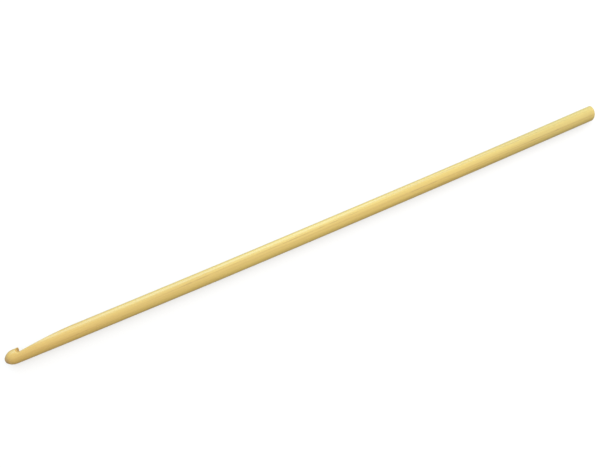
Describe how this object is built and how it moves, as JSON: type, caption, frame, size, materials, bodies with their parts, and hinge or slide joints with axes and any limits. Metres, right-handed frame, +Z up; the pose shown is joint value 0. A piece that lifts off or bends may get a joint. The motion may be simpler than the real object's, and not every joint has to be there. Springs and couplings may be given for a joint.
{
  "type": "crochet hook",
  "caption": "Slim round bamboo crochet hook: blunt nose, undercut yarn notch, sloped throat, plain shaft and a butt with a rounded edge.",
  "frame": {"origin": "on the surface the hook lies on, under the middle of its length and under the shaft's axis", "axes": "+X along the shaft from the nose to the butt, +Y the side that the notch opens to, +Z up from the surface"},
  "size_m": [0.15, 0.0036, 0.0035],
  "materials": {
    "bamboo": "satin"
  },
  "bodies": {
    "root": {"hook_head": "bamboo", "shaft": "bamboo"}
  },
  "joints": []
}
